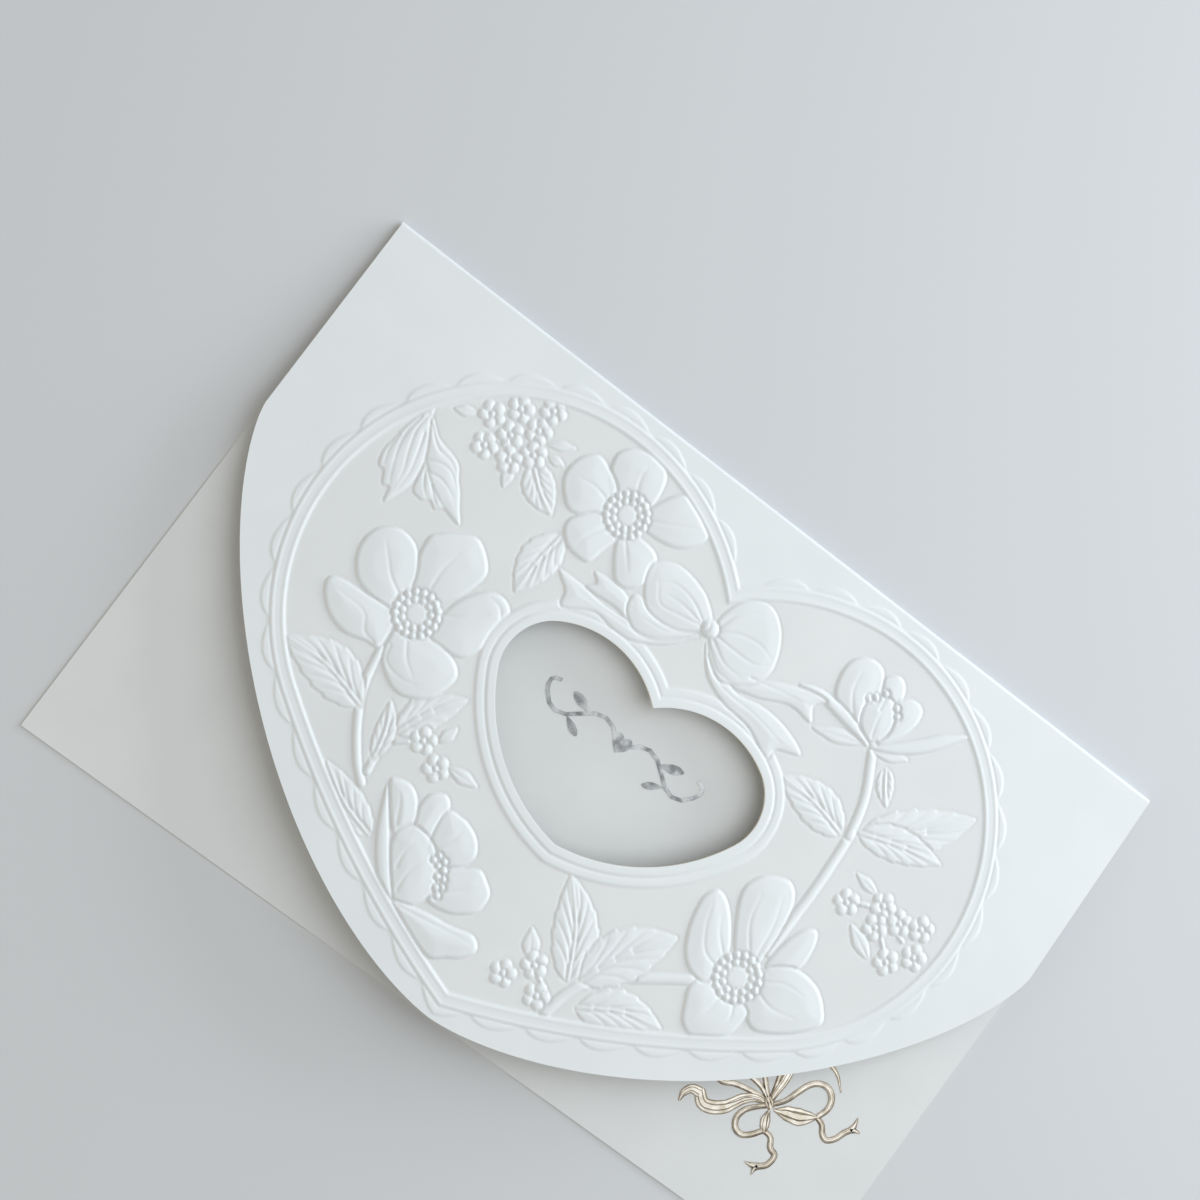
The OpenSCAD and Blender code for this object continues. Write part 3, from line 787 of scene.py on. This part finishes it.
def triangulate(loops, inner):
    """Triangles over the area inside the first loop, which bulges all round, and outside the others."""
    points = np.vstack([*loops, inner])
    edges, first = [], 0
    for loop in loops:
        n = len(loop)
        edges += [(first + i, first + (i + 1) % n) for i in range(n)]
        first += n
    flat = [Vector((x, -drop)) for x, drop in points]
    verts, _, tris, *_ = delaunay_2d_cdt(flat, edges, [], 0, 1e-6)
    verts = np.array([(v.x, -v.y) for v in verts]).round(PLACES)
    tris = np.array(tris)
    for hole in loops[1:]:
        depth, _ = distance(hole, *verts[tris].mean(1).T, closed=True)
        tris = tris[depth < 0]
    return verts, tris


def on_flap(x, drop, height):
    """Places in the part's frame, in mm, of points at a height over the flap's outer face."""
    z = OUTER_R + height
    c, s = math.cos(FLAP_OPEN), math.sin(FLAP_OPEN)
    return np.c_[x, FOLD_Y - drop * c + z * s, OUTER_R + drop * s + z * c]


def turn_with_flap(n):
    """Directions on the flap, given as x, y up the flap and z out of it, turned to the part's frame."""
    c, s = math.cos(FLAP_OPEN), math.sin(FLAP_OPEN)
    return np.c_[n[:, 0], n[:, 1] * c + n[:, 2] * s, n[:, 2] * c - n[:, 1] * s]


sheet_points, sheet_faces, sheet_normals, sheet_tones = [], [], [], []

# Tones of the paper: its cut edges; the flap's underside, tinted warm as painted warm shade; its inside face,
# a little darker and warmer as painted shade, a tone that also paints shade on the flat ground inside the
# heart; and its pearl coat
CUT_TONE, UNDERSIDE_SHADE_TONE, PAINTED_SHADE_TONE, PEARL_TONE = 0.0, 0.2, 0.5, 1.0


def add_faces(points, faces, normals, tone):
    """Gather faces of the sheet, with one normal for each corner and one tone for each point or for all."""
    base = sum(len(p) for p in sheet_points)
    sheet_points.append(points)
    tones = np.broadcast_to(tone, len(points))
    sheet_faces.extend([base + i for i in f] for f in faces)
    sheet_normals.extend(normals)
    sheet_tones.extend(tones[i] for f in faces for i in f)


def add_strip(first, second, normals_first, normals_second, tone):
    """Quads between two lines of points."""
    n = len(first)
    faces = [(i, i + 1, n + i + 1, n + i) for i in range(n - 1)]
    both = np.vstack([normals_first, normals_second])
    add_faces(np.vstack([first, second]), faces, [both[i] for f in faces for i in f], tone)


def add_wall(line, hand):
    """The sheet's cut edge along a line on the flap. It faces the line's right for 1, its left for -1."""
    ahead = np.diff(line, axis=0)
    ahead /= np.hypot(*ahead.T)[:, None]
    side = turn_with_flap(hand * np.c_[-ahead[:, 1], -ahead[:, 0], np.zeros(len(ahead))])
    top = on_flap(*line.T, look_up(relief, *line.T))
    bottom = on_flap(*line.T, np.full(len(line), -STOCK))
    for i in range(len(ahead)):
        corners = [top[i], bottom[i], bottom[i + 1], top[i + 1]]
        add_faces(np.array(corners[::hand]), [(0, 1, 2, 3)], [side[i]] * 4, CUT_TONE)


def build_flap():
    outline = flap_outline().round(PLACES)
    window = heart_outline(WINDOW_HEART, WINDOW_STEP).round(PLACES)
    inner = flap_points()
    x, drop = inner.T
    in_sides = (np.abs(x) < CARD_W / 2 - EDGE_CLEAR) & (drop > EDGE_CLEAR)
    in_card = in_sides & (drop < edge_drop(x) - 2 * EDGE_CLEAR)
    inner = inner[in_card & (heart_distance(WINDOW_HEART, x, drop) > EDGE_CLEAR)]

    verts, tris = triangulate([outline, window], inner)
    height = look_up(relief, *verts.T)
    normal = np.c_[-look_up(slope_x, *verts.T), look_up(slope_drop, *verts.T), np.ones(len(verts))]
    normal = turn_with_flap(normal / np.linalg.norm(normal, axis=1)[:, None])
    # Inside the heart the flat ground takes the darker tone: painted shade, which leaves the raised relief
    # brighter as if it caught the pearl sheen
    in_heart = smooth(-heart_distance(BORDER_HEART, *verts.T) / BORDER_W)
    tone = PEARL_TONE - (PEARL_TONE - PAINTED_SHADE_TONE) * in_heart * (1 - smooth(height / GROUND_SHADE_UNTIL))
    add_faces(on_flap(*verts.T, height), tris, [normal[i] for t in tris for i in t], tone)

    below, tris = triangulate([outline, window], np.empty((0, 2)))
    down = turn_with_flap(np.array([[0, 0, -1.0]]))[0]
    # The flap's underside is tinted warmer than the panel's inside face, the same face of the sheet: painted
    # warm shade, bounced into the shade under the flap
    add_faces(on_flap(*below.T, np.full(len(below), -STOCK)), tris[:, ::-1], [down] * tris.size, UNDERSIDE_SHADE_TONE)

    add_wall(np.vstack([window, window[:1]]), -1)
    free_edge = outline[:len(outline) - FOLD_STRIPS]
    add_wall(np.vstack([outline[-1:], free_edge]), 1)


FOLD_STEPS = 14


def build_fold_and_panel():
    """The round fold, swept along the card, and the back panel."""
    along = np.linspace(-CARD_W / 2, CARD_W / 2, FOLD_STRIPS + 1)
    angles = np.linspace(-math.pi / 2, math.pi / 2 - FLAP_OPEN, FOLD_STEPS + 1)

    def line(y, z):
        return np.c_[along, np.full_like(along, y), np.full_like(along, z)]

    def facing(y, z):
        return line(y, z) * [0, 1, 1]

    for r, sign in ((OUTER_R, 1), (FOLD_R, -1)):
        for a, b in zip(angles, angles[1:]):
            ends = [(line(FOLD_Y + r * math.cos(t), OUTER_R + r * math.sin(t)),
                     facing(sign * math.cos(t), sign * math.sin(t))) for t in (a, b)]
            (p, n), (q, m) = ends[::-1] if sign > 0 else ends
            add_strip(p, q, n, m, PEARL_TONE if sign > 0 else PAINTED_SHADE_TONE)
    for side in (-1, 1):
        for a, b in zip(angles, angles[1:]):
            corners = [(side * CARD_W / 2, FOLD_Y + r * math.cos(t), OUTER_R + r * math.sin(t))
                       for r, t in ((OUTER_R, a), (OUTER_R, b), (FOLD_R, b), (FOLD_R, a))]
            add_faces(np.array(corners[::side]), [(0, 1, 2, 3)], [(side, 0, 0)] * 4, CUT_TONE)
    # The panel's inside face takes the darker, warmer tone of painted shade
    add_strip(line(PANEL_LOW, STOCK), line(FOLD_Y, STOCK), facing(0, 1), facing(0, 1), PAINTED_SHADE_TONE)
    add_strip(line(FOLD_Y, 0), line(PANEL_LOW, 0), facing(0, -1), facing(0, -1), PEARL_TONE)
    add_strip(line(PANEL_LOW, 0), line(PANEL_LOW, STOCK), facing(-1, 0), facing(-1, 0), CUT_TONE)
    for side in (-1, 1):
        corners = [(side * CARD_W / 2, y, z) for y, z in
                   ((PANEL_LOW, 0), (FOLD_Y, 0), (FOLD_Y, STOCK), (PANEL_LOW, STOCK))]
        add_faces(np.array(corners[::side]), [(0, 1, 2, 3)], [(side, 0, 0)] * 4, CUT_TONE)


def make_sheet(material):
    """One mesh of everything gathered, with the points that meet made one."""
    points = np.vstack(sheet_points)
    unique, index = np.unique(np.round(points, 4), axis=0, return_inverse=True)
    index = index.ravel()
    mesh = bpy.data.meshes.new("folded_card")
    mesh.from_pydata(unique * MM, [], [[int(index[i]) for i in f] for f in sheet_faces])
    mesh.shade_smooth()
    mesh.normals_split_custom_set([tuple(n) for n in sheet_normals])
    mesh.materials.append(material)
    tone = mesh.attributes.new("tone", "FLOAT", "CORNER")
    tone.data.foreach_set("value", sheet_tones)
    obj = bpy.data.objects.new("folded_card", mesh)
    bpy.context.scene.collection.objects.link(obj)
    return obj


# The stamped bow, in its own frame in millimetres: bands of foil between two dark edge lines

BOW_AT = Vector((76.9, -39.6, STOCK))
BOW_TURN = math.radians(54)
# Heights of a layer and of a band's crown, widths of the edge and pleat lines, pleats as shares of width
LAYER = 0.02
CROWN = 0.018
LINE_W = 0.3
PLEAT_W = 0.24
PLEAT_OUT, PLEAT_IN = 0.48, 0.28
FILL, LINE = 0, 1
BAND_FINISH = (LINE, LINE, FILL, LINE, FILL, LINE, FILL, LINE, LINE, LINE)

# Bands from the lowest layer to the topmost: layer, guide points, widths along the band
BOW_BANDS = [
    (0, [(-0.3, 0.6), (-2.8, 3.6), (-6, 6.6), (-9, 8.5), (-9.5, 11), (-6.5, 11.5), (-3.2, 8.5),
         (-0.8, 4.5), (0, 0.8)], (1.2, 1.5, 1.5, 1.2)),
    (0, [(0.1, 0.8), (0.6, 5), (1.6, 8.4), (3.6, 10.6), (5.8, 10.4), (5.6, 7.6), (3.6, 4.4), (0.5, 0.6)],
     (1.2, 1.5, 1.5, 1.2)),
    (1, [(-0.6, 0.4), (-3.1, 2.3), (-5.6, 2.9), (-7.9, 2.7), (-10.2, 2.6), (-12.9, 3.5), (-14.6, 5.2),
         (-14.4, 8.2)], (1.2, 2.1, 2.6, 2.8, 3.2, 3.3, 3.1, 2.6)),
    (2, [(-14.5, 7.6), (-16, 9), (-18, 8.8), (-19.6, 7.4)], (2.6, 2.2, 1.8, 0.5)),
    (1, [(0.6, 0.4), (2.6, 2), (4.6, 3.4), (6.4, 5), (8.5, 7), (11, 8), (13.5, 7), (15.6, 4.4), (16.9, 1),
         (16.5, -3.3)], (1.2, 1.8, 2.0, 2.0, 2.0, 1.6, 1.3, 0.9, 0.3)),
    (1, [(9.4, -6.6), (10.1, -8.8), (9.6, -11), (10.1, -12.6), (12.2, -13), (14.6, -12.4), (16.6, -12.3)],
     (1.2, 1.5, 1.5, 1.6)),
    (2, [(16, -12.4), (17.3, -11.6), (18.6, -10.2)], (1.7, 1.3, 0.2)),
    (2, [(16, -12.3), (17.1, -12.8), (18, -13.8)], (1.6, 1.2, 0.2)),
    (1, [(-3.2, -5.4), (-2.1, -7.6), (-2.8, -10), (-2.4, -12), (-4.6, -13.4),
         (-7.4, -12.9)], (1.2, 1.5, 1.5, 1.6)),
    (2, [(-6.8, -13), (-8.1, -12.2), (-9.4, -10.9)], (1.7, 1.3, 0.2)),
    (2, [(-6.8, -12.9), (-7.9, -13.4), (-8.8, -14.4)], (1.6, 1.2, 0.2)),
    (2, [(0.5, -1.9), (3, -3.5), (5.6, -5.4), (8, -6.3), (9.9, -6.9)], (0.6, 3.4, 4.2, 2.7, 0.4)),
    (2, [(-0.5, -1.6), (-1.9, -3.3), (-2.7, -4.9), (-3.2, -6.2)], (0.6, 2.4, 2.2, 0.4)),
    (3, [(0.4, -0.6), (3.8, -0.75), (7.1, 0.15), (10, 0.8), (12.4, 0.3), (14, -1.4), (14.1, -3.7),
         (12.6, -5.8), (9.8, -6.8)], (1.2, 1.5, 1.5, 1.6, 1.4)),
    (3, [(-0.4, -0.5), (-3.4, 0.2), (-6, 0.35), (-8.2, -0.7), (-9.1, -2.8), (-8.3, -4.7), (-6.2, -5.5),
         (-3.4, -5.6)], (1.2, 1.5, 1.5, 1.4)),
    (4, [(0, -1.5), (0, 0), (0, 1.4)], (1.3, 2.4, 1.5)),
]
# Pleat lines: the layer that they mark, and guide points
BOW_PLEATS = [
    (2, [(1.1, -2.1), (4, -3.3), (7, -5), (9.1, -6.5)]),
    (2, [(0.9, -2.6), (3.3, -4.8), (6, -6.4), (8.6, -6.9)]),
    (2, [(-0.8, -1.9), (-1.7, -3.6), (-2.5, -5.4)]), (1, [(-1.5, 1.1), (-4.4, 2.9), (-7.4, 2.9), (-10, 3)]),
    (4, [(-0.4, -1.1), (-0.25, 0), (-0.4, 1)]), (4, [(0.45, -1), (0.3, 0), (0.45, 0.9)]),
    (3, [(1, -0.7), (3.8, -0.8), (6, -0.2)]), (3, [(-1, -0.5), (-3.4, 0.2), (-5.4, 0.4)]),
]

bow_points, bow_faces, bow_finish = [], [], []


def add_band(points, widths, edge, crown, columns):
    """A closed strip of foil along a curve: upright sides, an edge line and a pleat line on each side."""
    line = curve(points)
    ahead = np.gradient(line, axis=0)
    ahead /= np.hypot(*ahead.T)[:, None]
    across = np.c_[-ahead[:, 1], ahead[:, 0]]
    half = np.interp(np.linspace(0, 1, len(line)), np.linspace(0, 1, len(widths)), widths) / 2
    inner = np.maximum(half - LINE_W, half / 4)
    tops = [(half, edge), (inner, edge), (PLEAT_OUT * half, crown), (PLEAT_IN * half, crown)]
    section = [(half, 0), *tops, *((-off, height) for off, height in reversed(tops)), (-half, 0)]
    n, base = len(section), len(bow_points)
    for i in range(len(line)):
        bow_points.extend((*(line[i] + across[i] * off[i]), height) for off, height in section)
    for i in range(len(line) - 1):
        first = base + n * i
        for k in range(n):
            step = (k + 1) % n
            bow_faces.append((first + k, first + step, first + n + step, first + n + k))
            bow_finish.append(columns[k])
    bow_faces.append([base + n - 1 - k for k in range(n)])
    bow_faces.append([len(bow_points) - n + k for k in range(n)])
    bow_finish.extend([LINE, LINE])


def make_bow(fill, line):
    """The whole bow as one mesh with two finishes."""
    for layer, points, widths in BOW_BANDS:
        edge = LAYER * (layer + 1)
        add_band(points, widths, edge, edge + CROWN, BAND_FINISH)
    for layer, points in BOW_PLEATS:
        edge = LAYER * (layer + 1) + CROWN
        widths = (PLEAT_W / 2, PLEAT_W, PLEAT_W / 2)
        add_band(points, widths, edge, edge + CROWN / 6, (LINE,) * len(BAND_FINISH))
    place = Matrix.Translation(BOW_AT) @ Matrix.Rotation(BOW_TURN, 4, "Z")
    mesh = bpy.data.meshes.new("stamped_bow")
    mesh.from_pydata([place @ Vector(p) * MM for p in bow_points], [], bow_faces)
    mesh.materials.append(fill)
    mesh.materials.append(line)
    mesh.polygons.foreach_set("material_index", bow_finish)
    mesh.shade_smooth()
    mesh.set_sharp_from_angle(angle=math.radians(40))
    obj = bpy.data.objects.new("stamped_bow", mesh)
    bpy.context.scene.collection.objects.link(obj)
    return obj


# Materials

def new_material(name):
    material = bpy.data.materials.new(name)
    material.use_nodes = True
    return material, material.node_tree.nodes, material.node_tree.links


def paper_material():
    """Off-white card with a fine felt grain and a faint pearl sheen, warmer at its cut edges, with painted
    warm shade on its inside face, under the flap and on the flat ground inside the heart.
    """
    material, nodes, links = new_material("card_paper")
    shader = nodes["Principled BSDF"]
    shader.inputs["Roughness"].default_value = 0.58
    shader.inputs["Specular IOR Level"].default_value = 0.35
    shader.inputs["Sheen Weight"].default_value = 0.12
    shader.inputs["Sheen Roughness"].default_value = 0.4

    where = nodes.new("ShaderNodeTexCoord")
    cloud = nodes.new("ShaderNodeTexNoise")
    cloud.inputs["Scale"].default_value = 60
    cloud.inputs["Detail"].default_value = 6
    tint = nodes.new("ShaderNodeValToRGB")
    tint.color_ramp.elements[0].position = 0.3
    tint.color_ramp.elements[0].color = (0.735, 0.785, 0.82, 1)
    tint.color_ramp.elements[1].position = 0.7
    tint.color_ramp.elements[1].color = (0.765, 0.815, 0.85, 1)
    tone = nodes.new("ShaderNodeAttribute")
    tone.attribute_name = "tone"
    tone_ramp = nodes.new("ShaderNodeValToRGB")
    tone_ramp.color_ramp.elements[0].position = CUT_TONE
    tone_ramp.color_ramp.elements[0].color = (0.96, 0.82, 0.6, 1)
    tone_ramp.color_ramp.elements[1].position = PEARL_TONE
    tone_ramp.color_ramp.elements[1].color = (1, 1, 1, 1)
    # A little darker and warmer than the pearl white: painted shade. The flap's underside, between this and
    # the cut edges' cream, takes a warmer painted shade
    tone_ramp.color_ramp.elements.new(PAINTED_SHADE_TONE).color = (0.96, 0.94, 0.93, 1)
    shade = nodes.new("ShaderNodeVectorMath")
    shade.operation = "MULTIPLY"
    links.new(where.outputs["Object"], cloud.inputs["Vector"])
    links.new(cloud.outputs["Fac"], tint.inputs["Fac"])
    links.new(tone.outputs["Fac"], tone_ramp.inputs["Fac"])
    links.new(tint.outputs["Color"], shade.inputs[0])
    links.new(tone_ramp.outputs["Color"], shade.inputs[1])
    links.new(shade.outputs["Vector"], shader.inputs["Base Color"])

    grain = nodes.new("ShaderNodeTexNoise")
    grain.inputs["Scale"].default_value = 2600
    grain.inputs["Detail"].default_value = 3
    bump = nodes.new("ShaderNodeBump")
    bump.inputs["Strength"].default_value = 0.06
    bump.inputs["Distance"].default_value = 0.0001
    links.new(where.outputs["Object"], grain.inputs["Vector"])
    links.new(grain.outputs["Fac"], bump.inputs["Height"])
    links.new(bump.outputs["Normal"], shader.inputs["Normal"])
    return material


def foil_material(name, bright, dull):
    """Stamped foil: metal with patches of brighter and duller tone, and an uneven satin polish."""
    material, nodes, links = new_material(name)
    shader = nodes["Principled BSDF"]
    shader.inputs["Metallic"].default_value = 1.0
    where = nodes.new("ShaderNodeTexCoord")
    patches = nodes.new("ShaderNodeTexNoise")
    patches.inputs["Scale"].default_value = 420
    patches.inputs["Detail"].default_value = 4
    tone = nodes.new("ShaderNodeValToRGB")
    tone.color_ramp.elements[0].position = 0.35
    tone.color_ramp.elements[0].color = (*dull, 1)
    tone.color_ramp.elements[1].position = 0.65
    tone.color_ramp.elements[1].color = (*bright, 1)
    polish = nodes.new("ShaderNodeMapRange")
    polish.inputs["To Min"].default_value = 0.22
    polish.inputs["To Max"].default_value = 0.42
    links.new(where.outputs["Object"], patches.inputs["Vector"])
    links.new(patches.outputs["Fac"], tone.inputs["Fac"])
    links.new(tone.outputs["Color"], shader.inputs["Base Color"])
    links.new(patches.outputs["Fac"], polish.inputs["Value"])
    links.new(polish.outputs["Result"], shader.inputs["Roughness"])
    return material


def floor_material():
    material, nodes, _ = new_material("floor_paint")
    shader = nodes["Principled BSDF"]
    shader.inputs["Base Color"].default_value = (0.64, 0.67, 0.71, 1)
    shader.inputs["Roughness"].default_value = 1.0
    shader.inputs["Specular IOR Level"].default_value = 0.0
    return material


card_paper = paper_material()
champagne = foil_material("champagne_foil", (0.84, 0.81, 0.75), (0.52, 0.46, 0.37))
foil_line = foil_material("foil_line", (0.33, 0.28, 0.22), (0.17, 0.14, 0.105))
silver = foil_material("silver_foil", (0.44, 0.45, 0.46), (0.15, 0.155, 0.16))

build_flap()
build_fold_and_panel()
folded_card = make_sheet(card_paper)
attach(folded_card, "root")
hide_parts("card")

stamped_bow = make_bow(champagne, foil_line)
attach(stamped_bow, "root")
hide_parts("foil_bow")

flourish_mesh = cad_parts["foil_flourish"].data
flourish_mesh.materials.clear()
flourish_mesh.materials.append(silver)


# Floor, light and camera

FLOOR_SIZE = 12.0
FLOOR_Z = -0.00002
bpy.ops.mesh.primitive_plane_add(size=FLOOR_SIZE, location=(0, 0, FLOOR_Z))
floor = bpy.context.active_object
floor.name = "floor"
floor.data.materials.append(floor_material())

world = bpy.data.worlds.new("studio")
world.use_nodes = True
sky = world.node_tree.nodes["Background"]
sky.inputs["Color"].default_value = (1, 0.96, 0.89, 1)
sky.inputs["Strength"].default_value = 0.42
bpy.context.scene.world = world

DAYLIGHT = (0.95, 1.0, 1.03)
LAMPLIGHT = (1.0, 0.82, 0.58)


def soft_box(name, place, wide, high, power, colour, spread=180):
    """A rectangular lamp that faces the card, with the angle that it spreads its light over."""
    light = bpy.data.lights.new(name, "AREA")
    light.color = colour
    light.shape = "RECTANGLE"
    light.size = wide
    light.size_y = high
    light.energy = power
    light.spread = math.radians(spread)
    obj = bpy.data.objects.new(name, light)
    obj.location = place
    obj.rotation_euler = (-Vector(place)).to_track_quat("-Z", "Y").to_euler()
    bpy.context.scene.collection.objects.link(obj)


soft_box("key", (0.25, 0.26, 0.6), 0.7, 0.7, 2.6, DAYLIGHT)
soft_box("low", (0.52, 0.62, 0.20), 0.8, 0.24, 1.9, DAYLIGHT, spread=110)
soft_box("fill", (-0.5, -0.45, 0.22), 0.7, 0.3, 0.7, LAMPLIGHT)

CAMERA_AT = Vector((-90.4, -1.6, 485.7)) * MM
LOOK_AT = Vector((-23.2, 28.5, 0)) * MM
PICTURE_TURN = math.radians(37.04)
FOCAL_PX = 2199
PICTURE_PX = 1200
SENSOR = 36

camera_data = bpy.data.cameras.new("camera")
camera_data.sensor_width = SENSOR
camera_data.lens = FOCAL_PX * SENSOR / PICTURE_PX
camera_data.clip_start = 0.01
camera = bpy.data.objects.new("camera", camera_data)
forward = (LOOK_AT - CAMERA_AT).normalized()
up_hint = Vector((-math.sin(PICTURE_TURN), math.cos(PICTURE_TURN), 0))
right = forward.cross(up_hint).normalized()
up = right.cross(forward)
turned = Matrix((right, up, -forward)).transposed()
camera.matrix_world = Matrix.Translation(CAMERA_AT) @ turned.to_4x4()
bpy.context.scene.collection.objects.link(camera)
bpy.context.scene.camera = camera
bpy.context.scene.view_settings.view_transform = "Standard"
